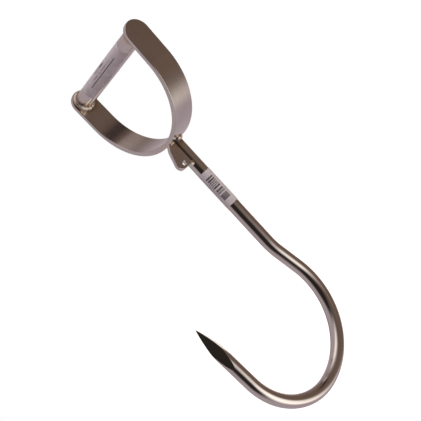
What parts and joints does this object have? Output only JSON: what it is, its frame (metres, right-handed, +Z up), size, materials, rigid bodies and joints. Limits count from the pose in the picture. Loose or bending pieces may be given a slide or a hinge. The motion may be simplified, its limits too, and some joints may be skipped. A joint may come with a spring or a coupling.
{
  "type": "hand meat hook",
  "caption": "Stainless hand meat hook: a flat-strap stirrup handle with a round welded grip, a straight shank with a small lug, and a wide hook ground to a four-sided point.",
  "frame": {"origin": "middle of the grip bar, on its axis", "axes": "+Z up the shank towards the handle, +X along the grip bar, and the hook's point stands on the -Y side of the shank"},
  "size_m": [0.123, 0.1333, 0.3362],
  "materials": {
    "strap_steel": "brushed flat bar, satin",
    "rod_steel": "polished round bar",
    "weld_metal": "bright weld bead, straw tinted at its toes",
    "label_paper": null
  },
  "bodies": {
    "root": {"bow": "strap_steel", "grip_bar": "rod_steel", "hook_rod": "rod_steel", "lug": "strap_steel", "grip_weld_left": "weld_metal", "grip_weld_right": "weld_metal", "shank_weld": "weld_metal", "lug_beads": "weld_metal", "lug_tack": "weld_metal", "grip_label": "label_paper", "shank_label": "label_paper"}
  },
  "joints": []
}
